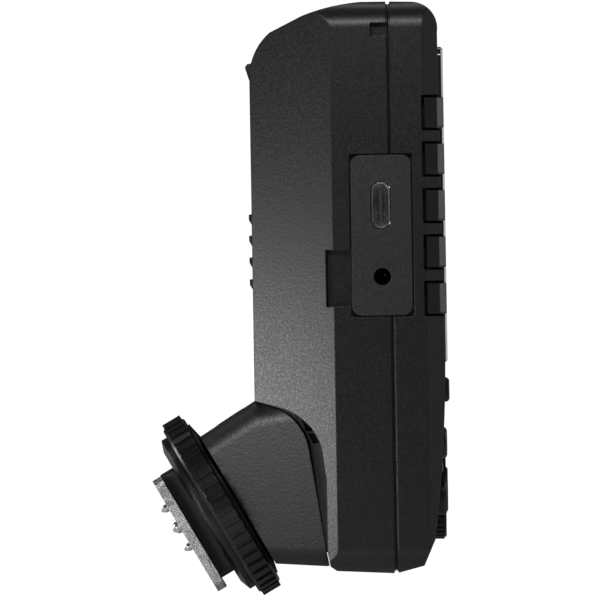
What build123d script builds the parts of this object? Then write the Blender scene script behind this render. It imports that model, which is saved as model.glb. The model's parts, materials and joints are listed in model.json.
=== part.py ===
from build123d import *
from math import cos, sin, radians, tan
import os

os.makedirs("parts", exist_ok=True)

# ---------------------------------------------------------------- sizes, mm
# The body stands upright: X runs from the camera side to the screen side, Z is up,
# and X = 0 is the seam between the two casings.
body_width = 58.0
body_top = 45.0
body_bottom = -41.2
back_x = -21.0
crease_x = -8.8
bevel_x = 5.1
edge_round = 3.8
wall = 1.9
seam_gap = 0.1
part_gap = 0.3
rear_slope = 20.0

# camera foot: its axis leans 30 degrees below the horizontal
foot_tilt = 30.0
ring_top = Vector(-24.7, 0, -29.77)
ring_dia = 30.05
ring_tall = 3.7
ring_ribs = 48
sleeve_r = 9.0
run_fit = 0.05
washer_dia = 26.2
block_long, block_wide, block_mid = 18.1, 12.5, 0.35
plate_long, plate_wide, plate_mid = 19.4, 18.6, 1.2
clamp_travel = 1.35
washer_low = ring_tall + 0.05
groove_r = 12.1
washer_thick = 0.9
plate_top = ring_tall + 3.79
plate_thick = 1.46
pin_rise = 1.21

# battery bay
cell_dia = 14.2
cell_long = 49.5
cell_x = back_x + wall + 0.7 + cell_dia / 2
cell_y = cell_dia / 2 + 0.5
bay_low, bay_high = -12.9, 39.0
bay_half = cell_y + cell_dia / 2 + 0.6
bay_floor = cell_x + cell_dia / 2 + 0.45
bay_wall = 1.2
half = body_width / 2
door_low, door_high, door_half = -13.2, body_top - 3.8, half - 9.5
door_thick = wall - part_gap
door_edge_x = -17.7

# screen and keys, given on the front face
face_x = 7.5
window_low, window_high = -9.5, body_top - 6.9
window_left, window_right = 9.4 - half, half - 3.0
window_x = 8.25
ledge_x = 6.6
group_pitch, group_mid, group_count = 7.0, 14.15, 5
key_gap = 0.3
key_travel = 0.35
board_x, board_thick = 1.5, 1.2
mat_x, mat_thick = 3.1, 0.5
dial_y, dial_z, dial_dia = 7.5, -28.9, 15.0
dial_face = 7.8

# round keys: name, Y, Z, diameter, height of the top
round_keys = [
    ("test_button", 8.5 - half, -21.65, 4.9, 7.95),
    ("sync_button", 8.5 - half, -29.7, 5.6, 7.75),
    ("zoom_button", 19.7 - half, -21.65, 4.9, 7.95),
    ("mode_button", 19.7 - half, -29.7, 5.6, 7.75),
    ("menu_button", half - 7.5, -29.7, 5.6, 7.75),
]
lamp_y, lamp_z = 8.5 - half, -25.2
function_first = window_left + 6.0
function_pitch = (window_right - window_left - 12.0) / 3
function_z = -13.65

# ports on the left side
panel_x0, panel_x1, panel_z0, panel_z1 = -6.0, 3.1, -2.3, 21.9
panel_thick = 1.0
usb_x, usb_z, usb_wide, usb_tall = -1.5, 14.3, 2.8, 7.0
jack_x, jack_z, jack_r = -1.43, 3.55, 1.3

# slide switches on the right side: name, Z of the knob at rest
side_switches = [("power_switch", 18.0), ("beam_switch", 2.0)]
switch_x, switch_travel = -4.6, 3.0

main_x = bay_floor + bay_wall + 0.45
main_thick = 1.2
post_y, post_z = door_half - 1.65, body_top - 6.25
post_spots = [(post_y, post_z), (-post_y, post_z), (14.2, -37.2), (-14.2, -37.2)]
board_spots = [(11, -17.5), (-16, -17.5), (-2, body_top - 5.0), (12, body_top - 5.0)]

tilt = radians(foot_tilt)
out_dir = Vector(-cos(tilt), 0, -sin(tilt))
along_dir = Vector(sin(tilt), 0, -cos(tilt))
foot_under = ring_top + out_dir * (plate_top + plate_thick)
to_row = Location((-foot_under.X, -foot_under.Y, -foot_under.Z))
made = []


def keep(maker, name):
    """Name a finished piece and save it with the foot's underside at the origin."""
    solid = maker.part
    solid.label = name
    placed = to_row * solid
    placed.label = name
    export_step(placed, "parts/" + name + ".step")
    made.append(name)


def foot_at(h):
    """Plane across the foot's axis, h beyond the top of the lock ring."""
    return Plane(origin=ring_top + out_dir * h, x_dir=along_dir, z_dir=out_dir)


def face_at(x):
    """Plane parallel to the front face: sketch x is Y, sketch y is Z."""
    return Plane(origin=(x, 0, 0), x_dir=(0, 1, 0), z_dir=(1, 0, 0))


def seam_curve():
    """Line where the neck meets the rear casing, from the back down to the bottom."""
    Line((back_x, -14.9), (-17.2, -16.2))
    ThreePointArc((-17.2, -16.2), (-14.15, -18.9), (-12.9, -21.8))
    Polyline((-12.9, -21.8), (-12.05, -27.0), (-10.4, -37.8))


def body_form(inset):
    """The whole body's outside, moved inwards by inset."""
    with BuildPart() as form:
        with BuildSketch(Plane.XZ):
            with BuildLine():
                seam_curve()
                Polyline((-10.4, -37.8), (-9.96, -40.0), (-9.0, -40.7), (0, -41.2), (4.2, -40.1), (5.9, -36.2))
                ThreePointArc((5.9, -36.2), (7.3, -22.5), (7.87, -8.0))
                Line((7.87, -8.0), (7.4, body_top - 4.8))
                ThreePointArc((7.4, body_top - 4.8), (6.45, body_top - 1.45), (3.6, body_top - 0.1))
                Line((3.6, body_top - 0.1), (0, body_top))
                ThreePointArc((0, body_top), (-8.8, body_top - 0.7), (-13.0, body_top - 2.0))
                Line((-13.0, body_top - 2.0), (-17.85, body_top - 4.4))
                ThreePointArc((-17.85, body_top - 4.4), (-20.1, body_top - 7.3), (back_x, body_top - 11.4))
                Line((back_x, body_top - 11.4), (back_x, -14.9))
            make_face()
            if inset:
                offset(amount=-inset, kind=Kind.INTERSECTION)
        extrude(amount=body_width, both=True)
        with BuildSketch(face_at(0)):
            with Locations((0, (body_top + body_bottom) / 2)):
                RectangleRounded(body_width - 2 * inset, body_top - body_bottom - 2 * inset,
                                 edge_round - inset)
        extrude(amount=60, both=True, mode=Mode.INTERSECT)
        back_half = half - (crease_x - back_x) * tan(radians(rear_slope))
        with BuildSketch(Plane.XY):
            with BuildLine():
                Polyline((back_x, back_half), (crease_x, half), (bevel_x, half),
                         (bevel_x + 4.4, half - 4.6), (bevel_x + 4.4, 4.6 - half),
                         (bevel_x, -half), (crease_x, -half), (back_x, -back_half), close=True)
            make_face()
            if inset:
                offset(amount=-inset, kind=Kind.INTERSECTION)
        extrude(amount=120, both=True, mode=Mode.INTERSECT)
    return form.part


outer_form = body_form(0)
inner_form = body_form(wall)
groove_form = body_form(0.35)

# the seam's shadow line, cut half into each casing
with BuildPart() as seam_groove:
    with BuildSketch(face_at(-0.3)):
        Rectangle(100, 120)
    extrude(amount=0.6)
    add(groove_form, mode=Mode.SUBTRACT)

# slanted band beside the neck, both sides
with BuildPart() as neck_side_cut:
    at_neck = (-17.2, -16.2), (-14.15, -18.9), (-12.9, -21.8), (-12.05, -27.0), (-10.4, -37.8)
    at_side = (-17.0, -15.9), (-12.6, -18.7), (-10.8, -22.0), (-10.2, -27.0), (-10.3, -37.8)
    for depth, points in ((17, at_neck), (half + 0.5, at_side)):
        with BuildSketch(Plane.XZ.offset(depth)):
            with BuildLine():
                Polyline((-10.3, -60), (-40, -60), (-40, -14.9), (back_x, -14.9), points[0])
                ThreePointArc(*points[:3])
                Polyline(*points[2:], (-10.3, -60))
            make_face()
    loft(ruled=True)
    mirror(about=Plane.XZ)

# everything the door covers, and the room around it
with BuildPart() as door_region:
    with BuildSketch(face_at(door_edge_x)):
        with Locations((0, (door_low + door_high) / 2)):
            RectangleRounded(2 * door_half, door_high - door_low, 2.0)
    extrude(amount=-12)
with BuildPart() as door_room:
    with BuildSketch(face_at(door_edge_x + 0.25)):
        with Locations((0, (door_low + door_high) / 2)):
            RectangleRounded(2 * door_half + 0.5, door_high - door_low + 0.5, 2.25)
    extrude(amount=-12)
    add(inner_form, mode=Mode.SUBTRACT)



def neck_form(inset):
    """The neck's outside, moved inwards by inset, running on into the body."""
    with BuildPart() as form:
        with BuildSketch(Plane.XZ):
            with BuildLine():
                Polyline((-20.9, -14.9), (-29.35, -20.25), (-18.2, -39.6), (-10.4, -40.1),
                         (-2.0, -38.0), (-2.0, -12.0), close=True)
            make_face()
            if inset:
                offset(amount=-inset, kind=Kind.INTERSECTION)
        extrude(amount=30, both=True)
        with BuildSketch(Plane(origin=ring_top, x_dir=-out_dir, z_dir=along_dir)):
            with BuildLine():
                Polyline((0.7, 12.4 - inset), (24, 22.4 - inset), (24, inset - 22.4),
                         (0.7, inset - 12.4), close=True)
            make_face()
        extrude(amount=60, both=True, mode=Mode.INTERSECT)
        corner = 3.4 - inset
        flank = [e for e in form.edges() if abs(e.center().Y) > 10 and e.length > 7
                 and abs((e @ 1 - e @ 0).normalized().dot(out_dir)) > 0.75]
        if corner > 0.3:
            fillet(flank, corner)
    return form.part


neck_cavity = neck_form(wall)

# ------------------------------------------------------------- rear casing
# lip that stands in the neck and closes the seam from inside
with BuildPart() as neck_lip:
    add(body_form(-1.2))
    add(neck_form(wall + 0.15), mode=Mode.INTERSECT)
    add(body_form(0.4), mode=Mode.SUBTRACT)

with BuildPart() as rear_casing:
    add(outer_form)
    with BuildSketch(face_at(-seam_gap / 2)):
        Rectangle(100, 120)
    extrude(amount=30, mode=Mode.SUBTRACT)
    add(inner_form, mode=Mode.SUBTRACT)
    # battery bay, the ledge under the door, screw posts
    with Locations(((back_x + bay_floor + bay_wall) / 2, 0, (bay_low + bay_high) / 2)):
        Box(bay_floor + bay_wall - back_x, 2 * (bay_half + bay_wall), bay_high - bay_low + 2 * bay_wall)
    with Locations((back_x + wall + 0.8, 0, (door_low + door_high) / 2)):
        Box(2.4, 2 * door_half + 4, door_high - door_low + 1.6)
    with BuildSketch(face_at(-1.0)):
        with Locations(*post_spots):
            Circle(2.3)
    extrude(amount=-17)
    add(outer_form, mode=Mode.INTERSECT)
    add(neck_side_cut.part, mode=Mode.SUBTRACT)
    add(neck_lip.part)
    add(door_room.part, mode=Mode.SUBTRACT)
    with Locations((bay_floor - 10, 0, (bay_low + bay_high) / 2)):
        Box(20, 2 * bay_half, bay_high - bay_low, mode=Mode.SUBTRACT)
    add(seam_groove.part, mode=Mode.SUBTRACT)
    # screw holes
    with BuildSketch(face_at(-1.0)):
        with Locations(*post_spots):
            Circle(1.1)
    extrude(amount=-30, mode=Mode.SUBTRACT)
    with BuildSketch(face_at(-6.6)):
        with Locations(*post_spots):
            Circle(1.8)
    extrude(amount=-30, mode=Mode.SUBTRACT)
    # port panel seat and opening
    with Locations(((panel_x0 + panel_x1) / 2, -half, (panel_z0 + panel_z1) / 2)):
        Box(panel_x1 - panel_x0 + 0.4, 2.4, panel_z1 - panel_z0 + 0.4, mode=Mode.SUBTRACT)
        Box(panel_x1 - panel_x0 - 1.6, 12, panel_z1 - panel_z0 - 1.6, mode=Mode.SUBTRACT)
    # finger recess beside the panel
    with BuildSketch(Plane.XY.offset(3.4)):
        with BuildLine():
            Polyline((panel_x0 - 4.2, -half - 0.2), (panel_x0 - 3.6, -half + 1.2), (panel_x0 + 0.4, -half + 1.3),
                     (panel_x0 + 0.4, -half - 0.2), close=True)
        make_face()
    extrude(amount=4.3, both=True, mode=Mode.SUBTRACT)
    # strap notches at the seam and strap slots beside the neck
    for side in (-1, 1):
        with Locations((-1.35, side * half, body_top - 4.2)):
            Box(2.7, 3.0, 2.0, mode=Mode.SUBTRACT)
        with BuildSketch(Plane.XZ.offset(-side * 18.6)):
            with BuildLine():
                Polyline((-13.9, -17.75), (-12.4, -19.2), (-11.45, -21.3), (-12.25, -21.5),
                         (-13.35, -19.5), close=True)
            make_face()
            with Locations((-12.7, -19.75)):
                Rectangle(4, 0.32, mode=Mode.SUBTRACT)
        extrude(amount=-side * 12, mode=Mode.SUBTRACT)
    # switch slots on the right side
    for name, knob_z in side_switches:
        with Locations((switch_x, half, knob_z + switch_travel / 2)):
            Box(4.4, 1.6, 6.6 + switch_travel, mode=Mode.SUBTRACT)
            Box(2.0, 12, 2.4 + switch_travel, mode=Mode.SUBTRACT)
    # wire hole into the neck
    with BuildSketch(Plane.XZ.offset(-6)):
        with Locations((-14.0, -25.0)):
            Rectangle(9, 7)
    extrude(amount=12, mode=Mode.SUBTRACT)
keep(rear_casing, "rear_casing")

# ------------------------------------------------------------ front casing
with BuildPart() as front_casing:
    add(outer_form)
    with BuildSketch(face_at(seam_gap / 2)):
        Rectangle(100, 120)
    extrude(amount=-30, mode=Mode.SUBTRACT)
    add(inner_form, mode=Mode.SUBTRACT)
    # posts for the casing screws and the control board
    with BuildSketch(face_at(2.9)):
        with Locations(*post_spots):
            Circle(1.7)
    extrude(amount=3.4)
    with BuildSketch(face_at(-0.9)):
        with Locations(*post_spots):
            Circle(1.7)
    extrude(amount=4.2)
    with BuildSketch(face_at(board_x + board_thick + 0.05)):
        with Locations(*board_spots):
            Circle(1.4)
    extrude(amount=4)
    add(outer_form, mode=Mode.INTERSECT)
    with BuildSketch(face_at(-1.5)):
        with Locations(*post_spots, *board_spots):
            Circle(0.85)
    extrude(amount=6.5, mode=Mode.SUBTRACT)
    add(seam_groove.part, mode=Mode.SUBTRACT)
    # screen seat and the opening behind it
    window_mid = ((window_left + window_right) / 2, (window_low + window_high) / 2)
    with BuildSketch(face_at(ledge_x)):
        with Locations(window_mid):
            RectangleRounded(window_right - window_left + 0.3, window_high - window_low + 0.3, 1.6)
    extrude(amount=5, mode=Mode.SUBTRACT)
    with BuildSketch(face_at(4.0)):
        with Locations(window_mid):
            RectangleRounded(window_right - window_left - 3, window_high - window_low - 3, 1.0)
    extrude(amount=5, mode=Mode.SUBTRACT)
    # group keys sit in notches that run out through the bevel
    for i in range(group_count):
        with Locations((6.85, 3.55 - half, group_mid + (i - 2) * group_pitch)):
            Box(4.0, 9.1, 4.75 + 2 * key_gap, mode=Mode.SUBTRACT)
    for i in range(4):
        with Locations((6.5, function_first + i * function_pitch, function_z)):
            Box(5, 8.6, 3.7 + 2 * key_gap, mode=Mode.SUBTRACT)
    with BuildSketch(face_at(3.6)):
        for name, y, z, dia, top in round_keys:
            with Locations((y, z)):
                Circle(dia / 2 + key_gap)
        with Locations((lamp_y, lamp_z)):
            Circle(0.9)
        with Locations((dial_y, dial_z)):
            Circle(dial_dia / 2 + key_gap)
    extrude(amount=8, mode=Mode.SUBTRACT)
    with Locations(((panel_x0 + panel_x1) / 2, -half, (panel_z0 + panel_z1) / 2)):
        Box(panel_x1 - panel_x0 + 0.4, 2.4, panel_z1 - panel_z0 + 0.4, mode=Mode.SUBTRACT)
        Box(panel_x1 - panel_x0 - 1.6, 12, panel_z1 - panel_z0 - 1.6, mode=Mode.SUBTRACT)
keep(front_casing, "front_casing")

# ------------------------------------------------------------ battery door
with BuildPart() as battery_door:
    add(outer_form)
    add(body_form(door_thick), mode=Mode.SUBTRACT)
    add(door_region.part, mode=Mode.INTERSECT)
    # grip ridges: steep above, ramped below
    with BuildSketch(Plane.XZ):
        for top in (13.4, 10.2, 6.9, 3.6):
            with BuildLine():
                Polyline((back_x + 0.3, top), (back_x - 0.45, top - 0.15), (back_x - 0.45, top - 0.95),
                         (back_x, top - 1.75), (back_x + 0.3, top - 1.75), close=True)
            make_face()
    extrude(amount=9, both=True)
    with BuildSketch(Plane.XZ):
        with BuildLine():
            Polyline((back_x + 0.4, door_high - 5.0), (back_x - 0.3, door_high - 5.1), (back_x - 0.68, door_high - 5.6),
                     (back_x - 0.1, door_high - 7.5), (back_x + 0.4, door_high - 7.7), close=True)
        make_face()
    extrude(amount=6, both=True)
keep(battery_door, "battery_door")

# -------------------------------------------------------------------- neck
with BuildPart() as neck_housing:
    add(neck_form(0))
    with BuildSketch(face_at(-8)):
        Rectangle(100, 120)
    extrude(amount=10, mode=Mode.SUBTRACT)
    add(body_form(-0.12), mode=Mode.SUBTRACT)
    add(neck_cavity, mode=Mode.SUBTRACT)
    # collar above the lock ring, bore for the sleeve
    with BuildSketch(foot_at(-2.6)):
        Circle(10.4)
    extrude(amount=2.0)
    # lip that runs in the ring's groove and hides the gap
    with BuildSketch(foot_at(-0.3)):
        Circle(groove_r + 0.95)
        Circle(groove_r + 0.3, mode=Mode.SUBTRACT)
    extrude(amount=0.9)
    with BuildSketch(foot_at(-0.2)):
        Circle(13.3)
    with BuildSketch(foot_at(-0.78)):
        Circle(10.6)
    loft()
    with BuildSketch(foot_at(-8)):
        Circle(sleeve_r + 0.03)
    extrude(amount=12, mode=Mode.SUBTRACT)
    # seat for the focus lamp's lens in the upper face
    lamp_plane = Plane(origin=(-24.8, 0, -17.37), x_dir=(-0.8449, 0, -0.5349), z_dir=(-0.5349, 0, 0.8449))
    with BuildSketch(lamp_plane.offset(-1.0)):
        RectangleRounded(5.3, 9.3, 1.2)
    extrude(amount=3, mode=Mode.SUBTRACT)
    with BuildSketch(lamp_plane.offset(-4)):
        RectangleRounded(3.6, 7.4, 0.8)
    extrude(amount=6, mode=Mode.SUBTRACT)
keep(neck_housing, "neck_housing")

with BuildPart() as focus_lamp_lens:
    with BuildSketch(lamp_plane.offset(-0.95)):
        RectangleRounded(5.0, 9.0, 1.1)
    extrude(amount=1.03)
    fillet(focus_lamp_lens.faces().sort_by(Axis((0, 0, 0), tuple(lamp_plane.z_dir)))[-1].edges(), 0.25)
keep(focus_lamp_lens, "focus_lamp_lens")

with BuildPart() as focus_lamp_led:
    with BuildSketch(lamp_plane.offset(-3.2)):
        Rectangle(3.2, 6.0)
    extrude(amount=0.8)
    with BuildSketch(lamp_plane.offset(-2.4)):
        Circle(1.2)
    extrude(amount=0.9)
keep(focus_lamp_led, "focus_lamp_led")

# ----------------------------------------------------- screen, board, keys
with BuildPart() as lcd_window:
    with BuildSketch(face_at(ledge_x + 0.05)):
        with Locations(window_mid):
            RectangleRounded(window_right - window_left, window_high - window_low, 1.5)
    extrude(amount=window_x - ledge_x - 0.05)
    chamfer(lcd_window.faces().sort_by(Axis.X)[-1].edges(), 0.3)
keep(lcd_window, "lcd_window")

with BuildPart() as lcd_panel:
    with BuildSketch(face_at(4.25)):
        with Locations(window_mid):
            Rectangle(window_right - window_left - 2.4, window_high - window_low - 2.7)
    extrude(amount=1.1)
keep(lcd_panel, "lcd_panel")

with BuildPart() as lcd_holder:
    with BuildSketch(face_at(board_x + board_thick + 0.1)):
        with Locations(window_mid):
            Rectangle(window_right - window_left - 2.0, window_high - window_low - 2.5)
    extrude(amount=1.4)
    with Locations((3.2, window_mid[0], window_mid[1])):
        Box(0.6, 34, 36, mode=Mode.SUBTRACT)
keep(lcd_holder, "lcd_holder")

with BuildPart() as control_board:
    with BuildSketch(face_at(board_x)):
        with Locations((0, (body_top - 3.0 - 38.0) / 2)):
            RectangleRounded(body_width - 2 * wall - 0.8, body_top - 3.0 + 38.0, 3.0)
        with Locations(*post_spots):
            Circle(2.1, mode=Mode.SUBTRACT)
        with Locations((2.4 - half, (panel_z0 + panel_z1) / 2)):
            Rectangle(6.0, panel_z1 - panel_z0 + 1.5, mode=Mode.SUBTRACT)
        with Locations(*board_spots):
            Circle(0.95, mode=Mode.SUBTRACT)
    extrude(amount=board_thick)
keep(control_board, "control_board")

with BuildPart() as keypad_mat:
    with BuildSketch(face_at(mat_x)):
        with Locations((5.4 - half, -0.9)):
            Rectangle(5.2, 64.2)
        with Locations((0.5, function_z)):
            Rectangle(body_width - 9.0, 4.6)
        with Locations((13.1 - half, -25.7)):
            Rectangle(19.0, 14.5)
        with Locations((half - 9.2, -23.6)):
            Rectangle(12.0, 20.0)
        with Locations((dial_y, dial_z)):
            Circle(9.0, mode=Mode.SUBTRACT)
        with Locations(*post_spots):
            Circle(2.7, mode=Mode.SUBTRACT)
        with Locations(*board_spots):
            Circle(1.7, mode=Mode.SUBTRACT)
        with Locations((lamp_y, lamp_z)):
            Circle(1.0, mode=Mode.SUBTRACT)
    extrude(amount=mat_thick)
keep(keypad_mat, "keypad_mat")

with BuildPart() as dome_switches:
    with BuildSketch(face_at(board_x + board_thick + 0.02)):
        for i in range(group_count):
            with Locations((5.0 - half, group_mid + (i - 2) * group_pitch)):
                Circle(1.8)
        for i in range(4):
            with Locations((function_first + i * function_pitch, function_z)):
                Circle(1.8)
        for name, y, z, dia, top in round_keys:
            with Locations((y, z)):
                Circle(1.8)
    extrude(amount=0.3)
keep(dome_switches, "dome_switches")

key_base = mat_x + mat_thick + key_travel + 0.1
for i in range(group_count):
    key_z = group_mid - (i - 2) * group_pitch
    with BuildPart() as group_button:
        with BuildSketch(Plane.XY.offset(key_z - 2.375)):
            with BuildLine():
                Polyline((5.3, 0.45 - half), (7.2, 2.05 - half), (8.2, 3.7 - half), (8.2, 7.8 - half),
                         (key_base, 7.8 - half), (key_base, 3.2 - half), (5.3, 3.2 - half), close=True)
            make_face()
        extrude(amount=4.75)
        rim = group_button.edges().filter_by(lambda e: e.center().X > 6.0)
        fillet(rim, 0.35)
    keep(group_button, "group_button_" + str(i + 1))

for i in range(4):
    with BuildPart() as function_button:
        with BuildSketch(face_at(key_base)):
            with Locations((function_first + i * function_pitch, function_z)):
                RectangleRounded(8.0, 3.7, 1.2)
        extrude(amount=8.45 - key_base)
        fillet(function_button.faces().sort_by(Axis.X)[-1].edges(), 0.6)
    keep(function_button, "function_button_" + str(i + 1))

for name, y, z, dia, top in round_keys:
    with BuildPart() as round_key:
        with BuildSketch(face_at(key_base)):
            with Locations((y, z)):
                Circle(dia / 2)
        extrude(amount=top - key_base)
        if dia < 5:
            fillet(round_key.faces().sort_by(Axis.X)[-1].edges(), 0.75)
        else:
            chamfer(round_key.faces().sort_by(Axis.X)[-1].edges(), 0.25)
            with BuildSketch(face_at(top - 0.25)):
                with Locations((y, z)):
                    Circle(dia / 2 - 0.8)
            extrude(amount=1, mode=Mode.SUBTRACT)
    keep(round_key, name)

with BuildPart() as status_lamp:
    with BuildSketch(face_at(board_x + board_thick + 0.05)):
        with Locations((lamp_y, lamp_z)):
            Circle(0.8)
    extrude(amount=4.45)
    with BuildSketch(face_at(7.2)):
        with Locations((lamp_y, lamp_z)):
            Circle(0.8)
    extrude(amount=0.08)
    fillet(status_lamp.faces().sort_by(Axis.X)[-1].edges(), 0.2)
keep(status_lamp, "status_lamp")

with BuildPart() as rotary_encoder:
    with BuildSketch(face_at(board_x + board_thick + 0.05)):
        with Locations((dial_y, dial_z)):
            RectangleRounded(11.6, 11.6, 1.0)
    extrude(amount=1.5)
    with BuildSketch(face_at(4.2)):
        with Locations((dial_y, dial_z)):
            Circle(4.3)
            Circle(3.7, mode=Mode.SUBTRACT)
    extrude(amount=2.0)
keep(rotary_encoder, "rotary_encoder")

with BuildPart() as select_dial:
    with BuildSketch(face_at(4.6)):
        with Locations((dial_y, dial_z)):
            Circle(dial_dia / 2 - 0.3)
    extrude(amount=dial_face - 4.6)
    with BuildSketch(face_at(4.6)):
        with Locations((dial_y, dial_z)):
            with PolarLocations(dial_dia / 2 - 0.3, 40):
                Rectangle(0.6, 0.5)
    extrude(amount=dial_face - 4.6 - 0.3)
    with BuildSketch(face_at(dial_face - 0.45)):
        with Locations((dial_y, dial_z)):
            Circle(dial_dia / 2 - 1.5)
    extrude(amount=2, mode=Mode.SUBTRACT)
    with BuildSketch(face_at(4.0)):
        with Locations((dial_y, dial_z)):
            Circle(4.3 + 0.07)
    extrude(amount=2.5, mode=Mode.SUBTRACT)
    with BuildSketch(face_at(4.0)):
        with Locations((dial_y, dial_z)):
            Circle(3.75)
    extrude(amount=5, mode=Mode.SUBTRACT)
keep(select_dial, "select_dial")

with BuildPart() as set_button:
    with BuildSketch(face_at(4.75)):
        with Locations((dial_y, dial_z)):
            Circle(3.45)
    extrude(amount=8.1 - 4.75)
    fillet(set_button.faces().sort_by(Axis.X)[-1].edges(), 0.4)
keep(set_button, "set_button")

# ------------------------------------------------------------ inner boards
with BuildPart() as main_board:
    with BuildSketch(face_at(main_x)):
        with Locations((0, (body_top - 3.5 - 22.5) / 2)):
            Rectangle(body_width - 6.0, body_top - 3.5 + 22.5)
        with Locations(*post_spots):
            Circle(2.9, mode=Mode.SUBTRACT)
        with Locations((4.0 - half, usb_z), (6.5 - half, jack_z)):
            Rectangle(8.6, 8.2, mode=Mode.SUBTRACT)
        for name, knob_z in side_switches:
            with Locations((half - 3.5, knob_z + switch_travel / 2)):
                Rectangle(7.0, 10.4, mode=Mode.SUBTRACT)
    extrude(amount=main_thick)
keep(main_board, "main_board")

with BuildPart() as radio_module:
    with Locations((main_x + main_thick + 0.35, 12.0, 27.0)):
        Box(0.6, 17, 13)
    with Locations((main_x + main_thick + 1.15, 10.5, 27.0)):
        Box(1.0, 13, 11)
keep(radio_module, "radio_module")

with BuildPart() as antenna:
    with BuildSketch(face_at(main_x + main_thick + 0.05)):
        with Locations((-4.0, 38.5)):
            Rectangle(20.0, 1.2)
        with Locations((-13.4, 35.5)):
            Rectangle(1.2, 6.0)
        with Locations((-8.5, 33.1)):
            Rectangle(11.0, 1.2)
    extrude(amount=0.4)
keep(antenna, "antenna")

# ----------------------------------------------------------------- ports
panel_mid = ((panel_x0 + panel_x1) / 2, (panel_z0 + panel_z1) / 2)
with BuildPart() as port_panel:
    with BuildSketch(Plane.XZ.offset(half - 0.05)):
        with Locations(panel_mid):
            RectangleRounded(panel_x1 - panel_x0, panel_z1 - panel_z0, 1.5)
        with Locations((usb_x, usb_z)):
            SlotOverall(usb_tall + 0.2, usb_wide + 0.2, rotation=90, mode=Mode.SUBTRACT)
        with Locations((jack_x, jack_z)):
            Circle(jack_r, mode=Mode.SUBTRACT)
    extrude(amount=-panel_thick)
keep(port_panel, "port_panel")

with BuildPart() as usb_receptacle:
    with BuildSketch(Plane.XZ.offset(half - 0.25)):
        with Locations((usb_x, usb_z)):
            SlotOverall(usb_tall, usb_wide, rotation=90)
            SlotOverall(usb_tall - 0.5, usb_wide - 0.5, rotation=90, mode=Mode.SUBTRACT)
    extrude(amount=-6.8)
    with BuildSketch(Plane.XZ.offset(half - 6.3)):
        with Locations((usb_x, usb_z)):
            SlotOverall(usb_tall, usb_wide, rotation=90)
    extrude(amount=-0.75)
keep(usb_receptacle, "usb_receptacle")

with BuildPart() as usb_tongue:
    with BuildSketch(Plane.XZ.offset(half - 0.9)):
        with Locations((usb_x, usb_z)):
            Rectangle(0.65, 4.9)
    extrude(amount=-5.35)
    with BuildSketch(Plane.XZ.offset(half - 1.3)):
        for i in range(8):
            with Locations((usb_x - 0.36, usb_z - 2.1 + 0.6 * i), (usb_x + 0.36, usb_z - 2.1 + 0.6 * i)):
                Rectangle(0.14, 0.28)
    extrude(amount=-4.9)
keep(usb_tongue, "usb_tongue")

with BuildPart() as sync_jack:
    with Locations((jack_x, 5.65 - half, jack_z)):
        Box(4.4, 8.6, 6.0)
    with BuildSketch(Plane.XZ.offset(half)):
        with Locations((jack_x, jack_z)):
            Circle(jack_r)
    extrude(amount=-9.2, mode=Mode.SUBTRACT)
keep(sync_jack, "sync_jack")

# --------------------------------------------------------- side switches
for name, knob_z in side_switches:
    with BuildPart() as knob:
        with Locations((switch_x, half + 0.1, knob_z)):
            Box(3.4, 1.4, 4.0)
        with Locations((switch_x, half - 2.2, knob_z)):
            Box(1.4, 3.4, 1.8)
        with BuildSketch(Plane.XZ.offset(-half - 0.8)):
            for i in (-1, 0, 1):
                with Locations((switch_x, knob_z + i * 1.1)):
                    Rectangle(3.4, 0.5)
        extrude(amount=-0.3)
        fillet(knob.edges().filter_by(Axis.X).filter_by(lambda e: e.center().Y > half + 1.0), 0.12)
    keep(knob, name + "_knob")
    with BuildPart() as switch_case:
        with Locations((switch_x, half - 4.65, knob_z + switch_travel / 2)):
            Box(4.0, 3.2, 9.4)
        with Locations((switch_x, half - 3.6, knob_z + switch_travel / 2)):
            Box(1.9, 1.6, 2.4 + switch_travel, mode=Mode.SUBTRACT)
    keep(switch_case, name + "_body")

# ------------------------------------------------------------- batteries
cell_low = bay_low + 0.35
spring_room = bay_high - bay_low - 0.7 - cell_long
cells = [("aa_cell_left", -cell_y, 1), ("aa_cell_right", cell_y, -1)]
for name, y, way in cells:
    base = cell_low + (spring_room if way > 0 else cell_long)
    with BuildPart() as cell:
        with BuildSketch(Plane(origin=(cell_x, y, base), z_dir=(0, 0, way))):
            Circle(cell_dia / 2)
        extrude(amount=cell_long - 1.1)
        fillet(cell.edges().filter_by(GeomType.CIRCLE), 0.5)
        with BuildSketch(Plane(origin=(cell_x, y, base + way * (cell_long - 1.3)), z_dir=(0, 0, way))):
            Circle(2.7)
        extrude(amount=1.25)
    keep(cell, name)

with BuildPart() as battery_contacts:
    for y in (-cell_y, cell_y):
        for z in (bay_low + 0.15, bay_high - 0.15):
            with Locations((cell_x, y, z)):
                Box(9.0, 11.0, 0.24)
keep(battery_contacts, "battery_contacts")

with BuildPart() as battery_springs:
    for y, z, way in ((-cell_y, bay_low + 0.3, 1), (cell_y, bay_high - 0.3, -1)):
        with BuildSketch(Plane(origin=(cell_x, y, z), z_dir=(0, 0, way))):
            Circle(4.4)
            Circle(3.8, mode=Mode.SUBTRACT)
        extrude(amount=0.5)
        with BuildSketch(Plane(origin=(cell_x, y, z + way * 0.5), z_dir=(0, 0, way))):
            Circle(3.9)
            Circle(3.2, mode=Mode.SUBTRACT)
        extrude(amount=0.5)
        with BuildSketch(Plane(origin=(cell_x, y, z + way * 1.0), z_dir=(0, 0, way))):
            Circle(3.3)
            Circle(2.6, mode=Mode.SUBTRACT)
        extrude(amount=spring_room - 1.0 - 0.1)
keep(battery_springs, "battery_springs")

# ------------------------------------------------------------------- foot
with BuildPart() as threaded_sleeve:
    with BuildSketch(foot_at(-4.0)):
        Circle(sleeve_r)
        Circle(6.6, mode=Mode.SUBTRACT)
    extrude(amount=ring_tall + 4.05)
keep(threaded_sleeve, "threaded_sleeve")

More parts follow.
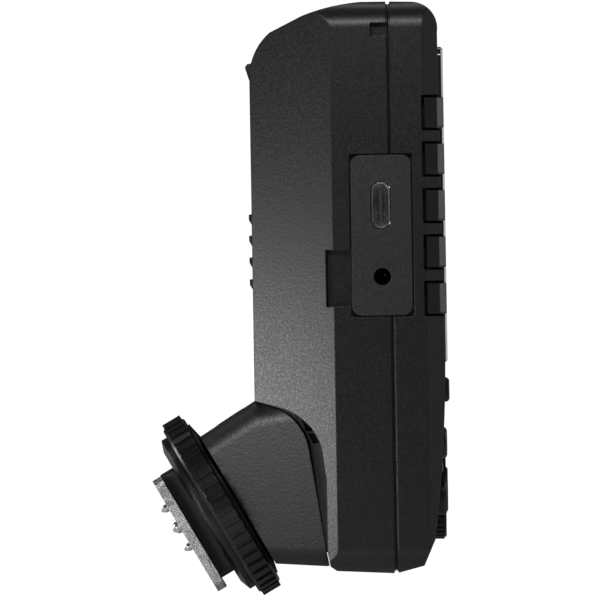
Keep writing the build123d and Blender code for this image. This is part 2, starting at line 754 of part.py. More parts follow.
with BuildPart() as lock_ring:
    with BuildSketch(foot_at(0)):
        Circle(ring_dia / 2 - 0.45)
    extrude(amount=ring_tall)
    chamfer(lock_ring.edges().filter_by(GeomType.CIRCLE), 0.5)
    with BuildSketch(foot_at(0.35)):
        with PolarLocations(ring_dia / 2 - 0.75, ring_ribs):
            Rectangle(1.5, 1.05)
    extrude(amount=ring_tall - 0.7)
    with BuildSketch(foot_at(-1)):
        Circle(sleeve_r + run_fit)
    extrude(amount=ring_tall + 2, mode=Mode.SUBTRACT)
    with BuildSketch(foot_at(-1)):
        Circle(groove_r + 1.25)
        Circle(groove_r, mode=Mode.SUBTRACT)
    extrude(amount=1.9, mode=Mode.SUBTRACT)
keep(lock_ring, "lock_ring")

with BuildPart() as clamp_washer:
    with BuildSketch(foot_at(washer_low)):
        Circle(washer_dia / 2)
    extrude(amount=washer_thick)
    with BuildSketch(foot_at(washer_low + washer_thick)):
        Circle(washer_dia / 2)
    extrude(amount=0.62, taper=70)
    with BuildSketch(foot_at(washer_low - 0.8)):
        with Locations((block_mid, 0)):
            RectangleRounded(block_long + 0.3, block_wide + 0.3, 1.0)
    extrude(amount=4, mode=Mode.SUBTRACT)
    with BuildSketch(foot_at(washer_low)):
        with Locations((-7.9, 0)):
            Rectangle(3.0, 2.0)
    extrude(amount=0.6)
keep(clamp_washer, "clamp_washer")

pins = [("centre_contact_pin", -0.5, 0, 0.95), ("ttl_pin_1", -3.9, 2.7, 0.6), ("ttl_pin_2", -3.9, -2.7, 0.6),
        ("ttl_pin_3", 2.9, 2.7, 0.6), ("ttl_pin_4", 2.9, -2.7, 0.6)]
screw_spots = [(7.4, 4.6), (7.4, -4.6), (-6.8, 4.6), (-6.8, -4.6)]
plate_under = plate_top + plate_thick
lock_spot = (-7.2, 0)

with BuildPart() as contact_block:
    shoulder = ring_tall + clamp_travel + 0.2
    with BuildSketch(foot_at(shoulder)):
        with Locations((block_mid, 0)):
            RectangleRounded(block_long, block_wide, 0.8)
    extrude(amount=plate_top - shoulder - 0.02)
    # under the lock ring's path the block stays within the sleeve's width
    with BuildSketch(foot_at(ring_tall + 0.08)):
        Circle(sleeve_r - 0.1)
        with Locations((block_mid, 0)):
            Rectangle(block_long, block_wide, mode=Mode.INTERSECT)
    extrude(amount=clamp_travel + 0.25)
    with BuildSketch(foot_at(-3.5)):
        Circle(6.1)
    extrude(amount=ring_tall + 3.7)
    # slot for the washer's arm that carries the locking pin
    with BuildSketch(foot_at(washer_low - 0.85)):
        with Locations((-7.8, 0)):
            Rectangle(3.4, 2.6)
    extrude(amount=clamp_travel + 1.8, mode=Mode.SUBTRACT)
    with BuildSketch(foot_at(plate_top - 0.1)):
        with Locations((-0.5, 0)):
            RectangleRounded(9.8, 8.4, 1.0)
    extrude(amount=plate_thick + 0.05)
    for name, d, y, r in pins:
        with BuildSketch(foot_at(plate_top - 5.49)):
            with Locations((d, y)):
                Circle(r + 0.45)
        extrude(amount=5.0, mode=Mode.SUBTRACT)
        with BuildSketch(foot_at(plate_top - 5.49)):
            with Locations((d, y)):
                Circle(r + 0.06)
        extrude(amount=9, mode=Mode.SUBTRACT)
    with BuildSketch(foot_at(plate_top - 4.5)):
        with Locations(lock_spot):
            Circle(0.86)
    extrude(amount=6, mode=Mode.SUBTRACT)
    with BuildSketch(foot_at(plate_top - 2.3)):
        with Locations(*screw_spots):
            Circle(0.8)
    extrude(amount=4, mode=Mode.SUBTRACT)
keep(contact_block, "contact_block")

with BuildPart() as foot_plate:
    with BuildSketch(foot_at(plate_top)):
        with Locations((plate_mid, 0)):
            RectangleRounded(plate_long, plate_wide, 1.2)
        with Locations((-0.5, 0)):
            RectangleRounded(10.0, 8.6, 1.1, mode=Mode.SUBTRACT)
        with Locations(lock_spot):
            Circle(0.9, mode=Mode.SUBTRACT)
        with Locations(*screw_spots):
            Circle(1.0, mode=Mode.SUBTRACT)
    extrude(amount=plate_thick)
    with BuildSketch(foot_at(plate_under - 0.75)):
        with Locations(*screw_spots):
            Circle(1.5)
    extrude(amount=1, mode=Mode.SUBTRACT)
keep(foot_plate, "foot_plate")

with BuildPart() as foot_screws:
    with BuildSketch(foot_at(plate_under - 0.72)):
        with Locations(*screw_spots):
            Circle(1.4)
    extrude(amount=0.67)
    with BuildSketch(foot_at(plate_top - 2.2)):
        with Locations(*screw_spots):
            Circle(0.75)
    extrude(amount=3.0)
    with BuildSketch(foot_at(plate_under - 0.4)):
        with Locations(*screw_spots):
            Rectangle(1.9, 0.4)
            Rectangle(0.4, 1.9)
    extrude(amount=1, mode=Mode.SUBTRACT)
keep(foot_screws, "foot_screws")

with BuildPart() as locking_pin:
    with BuildSketch(foot_at(washer_low + 0.62)):
        with Locations(lock_spot):
            Circle(0.8)
    extrude(amount=plate_under - washer_low - 0.67)
keep(locking_pin, "locking_pin")

for name, d, y, r in pins:
    with BuildPart() as pin:
        with BuildSketch(foot_at(plate_top - 1.59)):
            with Locations((d, y)):
                Circle(r + 0.38)
        extrude(amount=1.05)
        with BuildSketch(foot_at(plate_top - 2.2)):
            with Locations((d, y)):
                Circle(r)
        extrude(amount=plate_under + pin_rise * 0.45 - plate_top + 2.2)
        with BuildSketch(foot_at(plate_under + pin_rise * 0.45)):
            with Locations((d, y)):
                Circle(r)
        extrude(amount=pin_rise * 0.55, taper=34 if r < 0.8 else 46)
    keep(pin, name)

# ----------------------------------------------------------------- screws
with BuildPart() as casing_screws:
    with BuildSketch(face_at(-7.9)):
        with Locations(*post_spots):
            Circle(1.65)
    extrude(amount=1.25)
    with BuildSketch(face_at(-6.7)):
        with Locations(*post_spots):
            Circle(0.75)
    extrude(amount=9.5)
    with BuildSketch(face_at(-7.4)):
        with Locations(*post_spots):
            Rectangle(2.2, 0.45)
            Rectangle(0.45, 2.2)
    extrude(amount=-1, mode=Mode.SUBTRACT)
keep(casing_screws, "casing_screws")

with BuildPart() as board_screws:
    with BuildSketch(face_at(board_x - 0.8)):
        with Locations(*board_spots):
            Circle(1.6)
    extrude(amount=0.75)
    with BuildSketch(face_at(board_x - 0.1)):
        with Locations(*board_spots):
            Circle(0.8)
    extrude(amount=3.0)
keep(board_screws, "board_screws")

print(len(made), "pieces")
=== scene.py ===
import bpy
import bmesh
import json
import math
from mathutils import Matrix, Vector


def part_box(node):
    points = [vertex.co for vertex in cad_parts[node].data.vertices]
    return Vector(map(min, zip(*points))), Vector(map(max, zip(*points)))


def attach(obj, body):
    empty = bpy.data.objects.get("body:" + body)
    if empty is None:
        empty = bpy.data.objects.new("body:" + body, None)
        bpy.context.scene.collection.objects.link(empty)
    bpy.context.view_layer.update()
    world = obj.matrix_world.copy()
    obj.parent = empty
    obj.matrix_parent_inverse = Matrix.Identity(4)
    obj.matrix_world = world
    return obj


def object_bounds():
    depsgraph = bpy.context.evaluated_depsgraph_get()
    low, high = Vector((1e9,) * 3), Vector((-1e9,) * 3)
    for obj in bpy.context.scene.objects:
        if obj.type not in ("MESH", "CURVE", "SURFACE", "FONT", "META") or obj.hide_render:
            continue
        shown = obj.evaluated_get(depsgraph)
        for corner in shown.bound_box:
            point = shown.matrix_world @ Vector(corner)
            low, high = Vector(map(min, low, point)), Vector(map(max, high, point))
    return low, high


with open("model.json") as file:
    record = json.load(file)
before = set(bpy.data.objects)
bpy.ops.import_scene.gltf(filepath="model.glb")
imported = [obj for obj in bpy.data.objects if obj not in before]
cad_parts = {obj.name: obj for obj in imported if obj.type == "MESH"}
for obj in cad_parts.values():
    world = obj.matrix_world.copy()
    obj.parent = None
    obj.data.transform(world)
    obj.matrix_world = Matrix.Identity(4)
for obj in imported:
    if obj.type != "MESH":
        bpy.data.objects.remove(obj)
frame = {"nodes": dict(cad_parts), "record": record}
cad_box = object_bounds()
nodes = frame["nodes"]
scene = bpy.context.scene
MM = 0.001
LCD_INK = 0.03 * MM        # how far the screen's segments stand up
KEY_INK = 0.012 * MM       # how far the printed marks on keys stand up
KEY_GAP = 0.002 * MM       # between a key's face and its mark
DISH = 0.245 * MM          # depth of the dished round keys
CREASE = math.radians(28)  # sharper edges than this stay sharp
FRAME_WIDE = 91.0 * MM     # what the camera sees across


# ------------------------------------------------------------------ materials
def material(name):
    m = bpy.data.materials.new(name)
    m.use_nodes = True
    t = m.node_tree
    t.nodes.clear()
    out = t.nodes.new("ShaderNodeOutputMaterial")
    bsdf = t.nodes.new("ShaderNodeBsdfPrincipled")
    t.links.new(bsdf.outputs["BSDF"], out.inputs["Surface"])
    coord = t.nodes.new("ShaderNodeTexCoord")
    return m, t, bsdf, coord


def noise(t, coord, scale, detail=3.0, rough=0.55):
    n = t.nodes.new("ShaderNodeTexNoise")
    n.inputs["Scale"].default_value = scale
    n.inputs["Detail"].default_value = detail
    n.inputs["Roughness"].default_value = rough
    t.links.new(coord.outputs["Object"], n.inputs["Vector"])
    return n


def ramp(t, source, stops):
    r = t.nodes.new("ShaderNodeValToRGB")
    while len(r.color_ramp.elements) > 1:
        r.color_ramp.elements.remove(r.color_ramp.elements[-1])
    for i, (pos, col) in enumerate(stops):
        e = r.color_ramp.elements[0] if i == 0 else r.color_ramp.elements.new(pos)
        e.position = pos
        e.color = (col[0], col[1], col[2], 1)
    t.links.new(source, r.inputs["Fac"])
    return r


def mix(t, fac, a, b, kind="MIX"):
    m = t.nodes.new("ShaderNodeMix")
    m.data_type = "RGBA"
    m.blend_type = kind
    for sock, v in ((m.inputs[0], fac), (m.inputs[6], a), (m.inputs[7], b)):
        if hasattr(v, "is_output"):
            t.links.new(v, sock)
        elif isinstance(v, (int, float)):
            sock.default_value = v
        else:
            sock.default_value = (v[0], v[1], v[2], 1)
    return m.outputs[2]


def edge_mask(t, radius, low, high):
    """White along edges: how far a rounded normal turns from the flat one."""
    bev = t.nodes.new("ShaderNodeBevel")
    bev.samples = 4
    bev.inputs["Radius"].default_value = radius
    geo = t.nodes.new("ShaderNodeNewGeometry")
    dot = t.nodes.new("ShaderNodeVectorMath")
    dot.operation = "DOT_PRODUCT"
    t.links.new(bev.outputs["Normal"], dot.inputs[0])
    t.links.new(geo.outputs["Normal"], dot.inputs[1])
    r = ramp(t, dot.outputs["Value"], ((low, (1, 1, 1)), (high, (0, 0, 0))))
    return bev, r


def moulded(name, base, rough, grain=0.28, depth=0.02, edge_highlight=0.25, spread=0.06):
    """Moulded plastic: spark-eroded grain, faint mottling, glossier edges, and a painted highlight
    that lightens the colour along the edges.
    """
    m, t, b, c = material(name)
    fine = noise(t, c, 1.0 / (grain * MM), 2.0, 0.6)
    broad = noise(t, c, 1.0 / (9 * MM), 3.0, 0.5)
    bev, edges = edge_mask(t, 0.22 * MM, 0.86, 0.985)
    low, high = [v * 0.72 for v in base], [v * 1.5 + 0.004 for v in base]
    tone = ramp(t, fine.outputs["Fac"], ((0.38, low), (0.55, base), (0.74, high)))
    tone = mix(t, broad.outputs["Fac"], tone.outputs["Color"], [v * 1.12 for v in base])
    # painted highlight: the base colour is lightened along every edge
    edge_highlight_colour = mix(t, edges.outputs["Color"], tone, [v * (1 + 1.6 * edge_highlight) + 0.02 * edge_highlight for v in base])
    t.links.new(edge_highlight_colour, b.inputs["Base Color"])
    rr = ramp(t, fine.outputs["Fac"], ((0.3, [rough - spread] * 3), (0.7, [rough + spread] * 3)))
    rm = mix(t, edges.outputs["Color"], rr.outputs["Color"], [max(rough - 0.14, 0.1)] * 3)
    t.links.new(rm, b.inputs["Roughness"])
    bump = t.nodes.new("ShaderNodeBump")
    bump.inputs["Strength"].default_value = 0.55
    bump.inputs["Distance"].default_value = depth * MM
    t.links.new(fine.outputs["Fac"], bump.inputs["Height"])
    t.links.new(bev.outputs["Normal"], bump.inputs["Normal"])
    t.links.new(bump.outputs["Normal"], b.inputs["Normal"])
    return m


def metal(name, base, rough, grain=0.2, depth=0.01, dirt=0.35, pitted=False):
    """Bare or plated metal, with tarnish in broad patches; pitted metal has dark grit."""
    m, t, b, c = material(name)
    fine = noise(t, c, 1.0 / (grain * MM), 4.0, 0.65)
    broad = noise(t, c, 1.0 / (2.6 * MM), 4.0, 0.6)
    bev, edges = edge_mask(t, 0.12 * MM, 0.8, 0.98)
    tone = ramp(t, broad.outputs["Fac"], ((0.3, [v * (1 - dirt) for v in base]), (0.62, base)))
    dark, low, share = (0.12, 0.42, 0.9) if pitted else (0.72, 0.3, 0.6)
    grit = ramp(t, fine.outputs["Fac"], ((low, (dark,) * 3), (0.56, (1, 1, 1))))
    tone = mix(t, share, tone.outputs["Color"], grit.outputs["Color"], "MULTIPLY")
    # painted highlight: the metal's colour is lightened along every edge
    edge_highlight_colour = mix(t, edges.outputs["Color"], tone, [min(v * 1.15, 1) for v in base])
    t.links.new(edge_highlight_colour, b.inputs["Base Color"])
    polished = max(rough - 0.12, 0.05)
    rr = ramp(t, fine.outputs["Fac"], ((0.25, [polished] * 3), (0.75, [rough + 0.14] * 3)))
    t.links.new(rr.outputs["Color"], b.inputs["Roughness"])
    b.inputs["Metallic"].default_value = 1.0
    bump = t.nodes.new("ShaderNodeBump")
    bump.inputs["Strength"].default_value = 0.6
    bump.inputs["Distance"].default_value = depth * MM
    t.links.new(fine.outputs["Fac"], bump.inputs["Height"])
    t.links.new(bev.outputs["Normal"], bump.inputs["Normal"])
    t.links.new(bump.outputs["Normal"], b.inputs["Normal"])
    return m


def window_glass(name):
    m, t, b, c = material(name)
    haze = noise(t, c, 1.0 / (3 * MM), 4.0, 0.6)
    rr = ramp(t, haze.outputs["Fac"], ((0.35, (0.03,) * 3), (0.75, (0.11,) * 3)))
    t.links.new(rr.outputs["Color"], b.inputs["Roughness"])
    tint = ramp(t, haze.outputs["Fac"], ((0.3, (0.05, 0.055, 0.06)), (0.7, (0.07, 0.075, 0.08))))
    t.links.new(tint.outputs["Color"], b.inputs["Base Color"])
    side = t.nodes.new("ShaderNodeSeparateXYZ")
    t.links.new(c.outputs["Normal"], side.inputs["Vector"])
    flat = t.nodes.new("ShaderNodeMath")
    flat.operation = "ABSOLUTE"
    t.links.new(side.outputs["X"], flat.inputs[0])
    see = ramp(t, flat.outputs["Value"], ((0.6, (1, 1, 1)), (0.8, (0.16,) * 3)))
    t.links.new(see.outputs["Color"], b.inputs["Alpha"])
    b.inputs["Coat Weight"].default_value = 0.6
    b.inputs["Coat Roughness"].default_value = 0.03
    return m


def circuit(name):
    m, t, b, c = material(name)
    traces = t.nodes.new("ShaderNodeTexVoronoi")
    traces.feature = "DISTANCE_TO_EDGE"
    traces.distance = "EUCLIDEAN"
    traces.inputs["Scale"].default_value = 1.0 / (1.7 * MM)
    t.links.new(c.outputs["Object"], traces.inputs["Vector"])
    track, mask = (0.03, 0.2, 0.09), (0.008, 0.075, 0.035)
    col = ramp(t, traces.outputs["Distance"], ((0.03, track), (0.08, mask)))
    t.links.new(col.outputs["Color"], b.inputs["Base Color"])
    b.inputs["Roughness"].default_value = 0.32
    b.inputs["Coat Weight"].default_value = 0.3
    bump = t.nodes.new("ShaderNodeBump")
    bump.inputs["Distance"].default_value = 0.03 * MM
    bump.inputs["Strength"].default_value = 0.5
    t.links.new(col.outputs["Color"], bump.inputs["Height"])
    t.links.new(bump.outputs["Normal"], b.inputs["Normal"])
    return m


def lens(name, base, rough, line):
    m, t, b, c = material(name)
    wave = t.nodes.new("ShaderNodeTexWave")
    wave.inputs["Scale"].default_value = 1.0 / (line * MM)
    wave.bands_direction = "Y"
    t.links.new(c.outputs["Object"], wave.inputs["Vector"])
    col = ramp(t, wave.outputs["Fac"], ((0.2, [v * 0.6 for v in base]), (0.8, base)))
    t.links.new(col.outputs["Color"], b.inputs["Base Color"])
    b.inputs["Roughness"].default_value = rough
    b.inputs["Transmission Weight"].default_value = 0.35
    b.inputs["Coat Weight"].default_value = 0.8
    b.inputs["Coat Roughness"].default_value = 0.05
    bump = t.nodes.new("ShaderNodeBump")
    bump.inputs["Distance"].default_value = 0.06 * MM
    bump.inputs["Strength"].default_value = 0.7
    t.links.new(wave.outputs["Fac"], bump.inputs["Height"])
    t.links.new(bump.outputs["Normal"], b.inputs["Normal"])
    return m


def cell_skin(name, low, high, flip):
    """Plain printed sleeve with bright metal ends, by height along the cell."""
    m, t, b, c = material(name)
    sep = t.nodes.new("ShaderNodeSeparateXYZ")
    t.links.new(c.outputs["Object"], sep.inputs["Vector"])
    rng = t.nodes.new("ShaderNodeMapRange")
    rng.inputs["From Min"].default_value = high if flip else low
    rng.inputs["From Max"].default_value = low if flip else high
    t.links.new(sep.outputs["Z"], rng.inputs["Value"])
    can, dark, copper = (0.75, 0.75, 0.76), (0.025, 0.03, 0.04), (0.62, 0.30, 0.09)
    body = ramp(t, rng.outputs["Result"], ((0.0, can), (0.02, can), (0.024, dark), (0.72, dark),
                                           (0.724, copper), (0.955, copper),
                                           (0.96, (0.78, 0.78, 0.79))))
    scuff = noise(t, c, 1.0 / (1.2 * MM), 5.0, 0.7)
    sc = ramp(t, scuff.outputs["Fac"], ((0.35, (0.82, 0.82, 0.82)), (0.6, (1, 1, 1))))
    tone = mix(t, 1.0, body.outputs["Color"], sc.outputs["Color"], "MULTIPLY")
    t.links.new(tone, b.inputs["Base Color"])
    bare, ink = (1, 1, 1), (0.1,) * 3
    met = ramp(t, rng.outputs["Result"], ((0.0, bare), (0.02, bare), (0.024, ink), (0.72, ink),
                                          (0.724, (0.85,) * 3), (0.96, bare)))
    t.links.new(met.outputs["Color"], b.inputs["Metallic"])
    rr = ramp(t, scuff.outputs["Fac"], ((0.3, (0.22,) * 3), (0.7, (0.36,) * 3)))
    t.links.new(rr.outputs["Color"], b.inputs["Roughness"])
    return m


def printed(name, base, rough=0.55):
    m, t, b, c = material(name)
    n = noise(t, c, 1.0 / (0.12 * MM), 3.0, 0.6)
    col = ramp(t, n.outputs["Fac"], ((0.3, [v * 0.8 for v in base]), (0.6, base)))
    t.links.new(col.outputs["Color"], b.inputs["Base Color"])
    b.inputs["Roughness"].default_value = rough
    return m


black = (0.010, 0.010, 0.0105)
# the sixth argument sets how strongly the painted edge highlight lightens each plastic's colour
casing = moulded("casing_grain", black, 0.37, 0.34, 0.030, 0.35)
panel = moulded("panel_grain", (0.017, 0.017, 0.018), 0.5, 0.40, 0.11, 0.2, 0.08)
door = moulded("door_grain", black, 0.37, 0.34, 0.030, 0.45)
neck = moulded("neck_grain", (0.013, 0.013, 0.014), 0.42, 0.42, 0.075, 0.3)
foot_black = moulded("foot_block_grain", (0.006, 0.006, 0.0065), 0.42, 0.2, 0.02, 0.3)
ring = moulded("ring_satin", (0.006, 0.006, 0.0065), 0.24, 0.22, 0.010, 0.9, 0.05)
washer = moulded("washer_satin", (0.007, 0.007, 0.0075), 0.3, 0.22, 0.012, 0.6)
keys = moulded("key_rubber", (0.010, 0.010, 0.011), 0.42, 0.16, 0.012, 0.3, 0.05)
dial = moulded("dial_satin", (0.014, 0.014, 0.015), 0.38, 0.2, 0.012, 0.6, 0.05)
knob = moulded("knob_satin", (0.016, 0.016, 0.017), 0.44, 0.2, 0.012, 0.5)
holder = moulded("holder_black", (0.02, 0.02, 0.02), 0.5)
mat = moulded("silicone_mat", (0.16, 0.16, 0.165), 0.6)
lcd = moulded("liquid_crystal", (0.20, 0.245, 0.215), 0.24, 0.5, 0.003, 0.0, 0.02)
lcd.node_tree.nodes["Principled BSDF"].inputs["Coat Weight"].default_value = 0.5
foot_metal = metal("foot_cast_metal", (0.80, 0.79, 0.77), 0.34, 0.16, 0.09, 0.55, True)
steel = metal("nickel_steel", (0.72, 0.71, 0.69), 0.24, 0.15, 0.006)
silver = metal("bright_plating", (0.88, 0.87, 0.85), 0.2, 0.1, 0.004, 0.12)
gold = metal("gold_plating", (0.86, 0.66, 0.30), 0.26, 0.12, 0.005, 0.25)
screw = metal("black_zinc", (0.16, 0.16, 0.165), 0.38, 0.15, 0.01)
glass = window_glass("window_clear")
board = circuit("solder_mask")
red_lens = lens("lamp_red_lens", (0.045, 0.003, 0.004), 0.25, 0.7)
red_lamp = lens("lamp_clear_red", (0.62, 0.07, 0.05), 0.18, 0.5)

by_slot = {
    "casing": casing, "casing_panel": panel, "door": door, "neck": neck,
    "foot_black": foot_black, "ring": ring, "washer": washer, "foot_metal": foot_metal,
    "key": keys, "dial": dial, "knob": knob, "window": glass, "lcd": lcd,
    "holder": holder, "mat": mat, "board": board, "contact_gold": gold, "pin": silver,
    "steel": steel, "screw": screw, "lamp_lens": red_lens, "lamp": red_lamp,
}
for part in frame["record"]["subparts"]:
    name, slot = part["node"], part["material_slot"]
    obj = nodes[name]
    if slot == "cell":
        lo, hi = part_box(name)
        skin = cell_skin(name + "_skin", lo.z, hi.z, name.endswith("right"))
    else:
        skin = by_slot[slot]
    obj.data.materials.clear()
    obj.data.materials.append(skin)


# -------------------------------------------------------------- added pieces
def piece(name, bm, body, mat_, smooth=False):
    me = bpy.data.meshes.new(name)
    bm.normal_update()
    bm.to_mesh(me)
    bm.free()
    for p in me.polygons:
        p.use_smooth = smooth
    o = bpy.data.objects.new(name, me)
    scene.collection.objects.link(o)
    me.materials.append(mat_)
    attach(o, body)
    return o


def slab(bm, pts, normal, thick):
    """A thin raised mark: the outline pts, thickened along normal."""
    n = Vector(normal).normalized() * thick
    low = [bm.verts.new(Vector(p)) for p in pts]
    top = [bm.verts.new(Vector(p) + n) for p in pts]
    bm.faces.new(low)
    bm.faces.new(list(reversed(top)))
    k = len(pts)
    for i in range(k):
        bm.faces.new((low[i], top[i], top[(i + 1) % k], low[(i + 1) % k]))


def face_rect(bm, x, y0, y1, z0, z1, thick):
    slab(bm, [(x, y0, z0), (x, y0, z1), (x, y1, z1), (x, y1, z0)], (1, 0, 0), thick)


DIGITS = {1: "bc", 2: "abged", 3: "abgcd", 4: "fgbc", 5: "afgcd", 7: "abc"}  # the ones shown


def seven_segment(bm, x, y, z, h, value, thick):
    w, s = h * 0.52, h * 0.11
    spots = {"a": (y + s, y + w - s, z + h - s, z + h), "d": (y + s, y + w - s, z, z + s),
             "g": (y + s, y + w - s, z + h / 2 - s / 2, z + h / 2 + s / 2),
             "f": (y, y + s, z + h / 2, z + h - s / 2),
             "b": (y + w - s, y + w, z + h / 2, z + h - s / 2),
             "e": (y, y + s, z + s / 2, z + h / 2),
             "c": (y + w - s, y + w, z + s / 2, z + h / 2)}
    for k in DIGITS[value]:
        a, b, c, d = spots[k]
        g = s * 0.12
        face_rect(bm, x, a + g, b - g, c + g, d - g, thick)


# what the screen shows: five rows with a level bar and plain numerals
lo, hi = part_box("lcd_panel")
ink = printed("lcd_ink", (0.012, 0.014, 0.013), 0.3)
bm = bmesh.new()
x = hi.x + 0.02 * MM
row = (hi.z - lo.z - 7.0 * MM) / 5
for i in range(5):
    z0 = hi.z - 3.2 * MM - (i + 1) * row
    face_rect(bm, x, lo.y + 1.2 * MM, hi.y - 1.2 * MM, z0, z0 + 0.16 * MM, LCD_INK)
    seven_segment(bm, x, lo.y + 2.2 * MM, z0 + 1.6 * MM, 4.6 * MM, i + 1, LCD_INK)
    for k in range(9):
        if k < 8 - i:
            face_rect(bm, x, lo.y + (9.5 + 1.7 * k) * MM, lo.y + (10.6 + 1.7 * k) * MM,
                      z0 + 1.8 * MM, z0 + (2.9 + 0.32 * k) * MM, LCD_INK)
    seven_segment(bm, x, hi.y - 13.5 * MM, z0 + 1.5 * MM, 5.0 * MM, 1, LCD_INK)
    face_rect(bm, x, hi.y - 9.6 * MM, hi.y - 8.8 * MM, z0 + 0.9 * MM, z0 + 6.7 * MM, LCD_INK)
    seven_segment(bm, x, hi.y - 7.0 * MM, z0 + 1.5 * MM, 5.0 * MM, (4 + 3 * i) % 9, LCD_INK)
face_rect(bm, x, lo.y + 1.2 * MM, hi.y - 1.2 * MM, hi.z - 3.2 * MM, hi.z - 3.04 * MM, LCD_INK)
for k in range(4):
    face_rect(bm, x, hi.y - (9.0 - 1.4 * k) * MM, hi.y - (8.1 - 1.4 * k) * MM,
              hi.z - 2.5 * MM, hi.z - (2.1 - 0.4 * k) * MM, LCD_INK)
piece("lcd_segments", bm, "housing", ink)

# printed bars and dots on the keys
white_ink = printed("white_ink", (0.62, 0.62, 0.6), 0.5)
for i in range(5):
    name = "group_button_%d" % (i + 1)
    lo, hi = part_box(name)
    bm = bmesh.new()
    for k in range(i + 1):
        y = hi.y - 1.15 * MM - k * 0.52 * MM
        zc = (lo.z + hi.z) / 2
        face_rect(bm, hi.x + KEY_GAP, y - 0.12 * MM, y + 0.12 * MM,
                  zc - 0.7 * MM, zc + 0.7 * MM, KEY_INK)
    piece("group_mark_%d" % (i + 1), bm, name, white_ink)
for i in range(4):
    name = "function_button_%d" % (i + 1)
    lo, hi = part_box(name)
    bm = bmesh.new()
    yc, zc = (lo.y + hi.y) / 2, (lo.z + hi.z) / 2
    face_rect(bm, hi.x + KEY_GAP, yc - 1.1 * MM, yc + 1.1 * MM,
              zc - 0.13 * MM, zc + 0.13 * MM, KEY_INK)
    piece("function_mark_%d" % (i + 1), bm, name, white_ink)


def ring_mark(bm, x, y, z, r, w, start, end, steps, thick):
    pts_out, pts_in = [], []
    for k in range(steps + 1):
        a = start + (end - start) * k / steps
        pts_out.append((x, y + r * math.cos(a), z + r * math.sin(a)))
        pts_in.append((x, y + (r - w) * math.cos(a), z + (r - w) * math.sin(a)))
    for k in range(steps):
        slab(bm, [pts_out[k], pts_in[k], pts_in[k + 1], pts_out[k + 1]], (1, 0, 0), thick)


marks = {"test_button": "ring", "sync_button": "bars", "zoom_button": "cross",
         "mode_button": "dot", "menu_button": "bars3"}
for name, kind in marks.items():
    lo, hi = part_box(name)
    yc, zc = (lo.y + hi.y) / 2, (lo.z + hi.z) / 2
    x = hi.x + KEY_GAP if hi.y - lo.y < 5.2 * MM else hi.x - DISH  # only the wider keys are dished
    bm = bmesh.new()
    if kind == "ring":
        ring_mark(bm, x, yc, zc, 0.95 * MM, 0.2 * MM, 0.3, 2 * math.pi - 0.3, 20, KEY_INK)
    elif kind == "cross":
        face_rect(bm, x, yc - 0.9 * MM, yc + 0.9 * MM, zc - 0.1 * MM, zc + 0.1 * MM, KEY_INK)
        face_rect(bm, x, yc - 0.1 * MM, yc + 0.1 * MM, zc - 0.9 * MM, zc + 0.9 * MM, 0.013 * MM)
    elif kind == "dot":
        ring_mark(bm, x, yc, zc, 0.55 * MM, 0.5 * MM, 0, 2 * math.pi, 18, KEY_INK)
    else:
        count = 2 if kind == "bars" else 3
        for k in range(count):
            zz = zc + (k - (count - 1) / 2) * 0.75 * MM
            face_rect(bm, x, yc - 0.95 * MM, yc + 0.95 * MM,
                      zz - 0.11 * MM, zz + 0.11 * MM, KEY_INK)
    piece(name + "_mark", bm, name, white_ink)
lo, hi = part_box("set_button")
bm = bmesh.new()
ring_mark(bm, hi.x + KEY_GAP, (lo.y + hi.y) / 2, (lo.z + hi.z) / 2,
          1.5 * MM, 0.22 * MM, 0, 2 * math.pi, 28, KEY_INK)
piece("set_mark", bm, "set_button", white_ink)

# sprung contact at the bottom of the sync jack
lo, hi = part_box("sync_jack")
jx, jz = (lo.x + hi.x) / 2, (lo.z + hi.z) / 2
bm = bmesh.new()
place = Matrix.Translation((jx + 0.35 * MM, lo.y + 7.2 * MM, jz + 0.2 * MM))
bmesh.ops.create_uvsphere(bm, u_segments=20, v_segments=12, radius=0.55 * MM,
                          matrix=place @ Matrix.Diagonal((0.8, 0.9, 1.3, 1)))
piece("jack_contact", bm, "housing", steel, True)

# ------------------------------------------------------- smooth CAD surfaces
for obj in nodes.values():
    obj.data.shade_smooth()
    obj.data.set_sharp_from_angle(angle=CREASE)

# -------------------------------------------------------------------- camera
centre = Vector((18.55 * MM, 0, 34.475 * MM))
roll = math.radians(0.955)
right = Vector((math.cos(roll), 0, -math.sin(roll)))
up = Vector((math.sin(roll), 0, math.cos(roll)))
back = Vector((0, -1, 0))
dist = 4.0
cam_data = bpy.data.cameras.new("camera")
cam = bpy.data.objects.new("camera", cam_data)
scene.collection.objects.link(cam)
pos = centre + back * dist
cam.matrix_world = Matrix(((right.x, up.x, back.x, pos.x), (right.y, up.y, back.y, pos.y),
                           (right.z, up.z, back.z, pos.z), (0, 0, 0, 1)))
cam_data.sensor_width = 36
cam_data.lens = cam_data.sensor_width * dist / FRAME_WIDE
cam_data.clip_start = 0.01
cam_data.clip_end = 200
scene.camera = cam

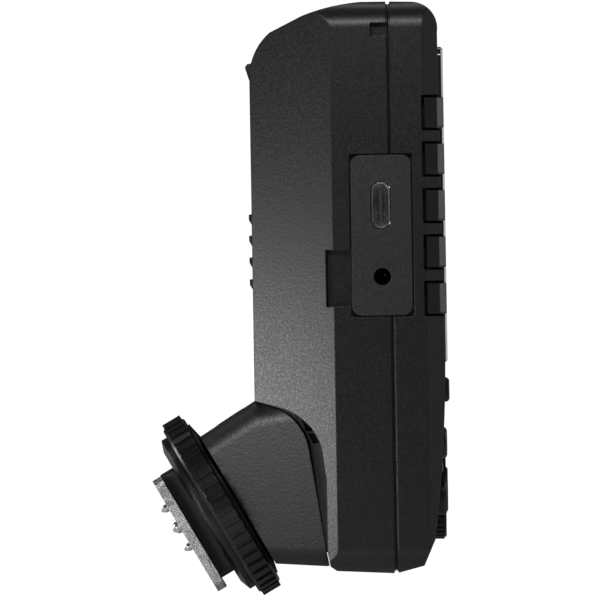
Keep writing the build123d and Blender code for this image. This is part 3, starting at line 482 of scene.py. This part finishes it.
# ------------------------------------------------------------- studio setting
lowest = cad_box[0][2]
bm = bmesh.new()
bmesh.ops.create_circle(bm, cap_ends=True, cap_tris=True, segments=96, radius=0.8)
me = bpy.data.meshes.new("floor")
bm.to_mesh(me)
bm.free()
floor = bpy.data.objects.new("floor", me)
floor.location = (0.02, 0, lowest - 0.0004)
scene.collection.objects.link(floor)
m, t, b, c = material("pale_floor")
b.inputs["Base Color"].default_value = (0.86, 0.86, 0.86, 1)
b.inputs["Roughness"].default_value = 0.85
b.inputs["Specular IOR Level"].default_value = 0.1
b.inputs["Emission Color"].default_value = (1, 1, 1, 1)
b.inputs["Emission Strength"].default_value = 0.05
glow = t.nodes.new("ShaderNodeEmission")
glow.inputs["Strength"].default_value = 1.05
ray = t.nodes.new("ShaderNodeLightPath")
pick = t.nodes.new("ShaderNodeMixShader")
t.links.new(ray.outputs["Is Camera Ray"], pick.inputs["Fac"])
t.links.new(b.outputs["BSDF"], pick.inputs[1])
t.links.new(glow.outputs["Emission"], pick.inputs[2])
t.links.new(pick.outputs["Shader"], t.nodes["Material Output"].inputs["Surface"])
me.materials.append(m)

world = bpy.data.worlds.new("studio")
scene.world = world
world.use_nodes = True
wt = world.node_tree
wt.nodes.clear()
wo = wt.nodes.new("ShaderNodeOutputWorld")
seen = wt.nodes.new("ShaderNodeBackground")
seen.inputs["Color"].default_value = (1, 1, 1, 1)
seen.inputs["Strength"].default_value = 1.05
lit = wt.nodes.new("ShaderNodeBackground")
lit.inputs["Color"].default_value = (1, 1, 1, 1)
lit.inputs["Strength"].default_value = 0.04
path = wt.nodes.new("ShaderNodeLightPath")
both = wt.nodes.new("ShaderNodeMixShader")
wt.links.new(path.outputs["Is Camera Ray"], both.inputs["Fac"])
wt.links.new(lit.outputs["Background"], both.inputs[1])
wt.links.new(seen.outputs["Background"], both.inputs[2])
wt.links.new(both.outputs["Shader"], wo.inputs["Surface"])


def softbox(name, place, aim, size, watts):
    data = bpy.data.lights.new(name, "AREA")
    data.shape = "RECTANGLE"
    data.size, data.size_y = size
    data.energy = watts
    o = bpy.data.objects.new(name, data)
    o.location = place
    o.rotation_euler = (Vector(aim) - Vector(place)).to_track_quat("-Z", "Y").to_euler()
    scene.collection.objects.link(o)
    return o


aim = tuple(centre)
softbox("key_left", (-0.066, -0.105, 0.012), (0.012, -0.022, 0.016), (0.035, 0.035), 0.07)
softbox("side_top", (0.012, -0.15, 0.135), (0.02, -0.03, 0.08), (0.08, 0.03), 0.08)
softbox("top_back", (-0.1, 0.25, 0.9), aim, (0.7, 0.4), 1.2)
softbox("rim_left", (-0.85, 0.5, 0.05), aim, (0.25, 0.9), 3.5)
softbox("rim_right", (0.85, 0.42, 0.1), aim, (0.25, 0.9), 2)

scene.view_settings.view_transform = "Standard"
scene.view_settings.look = "None"
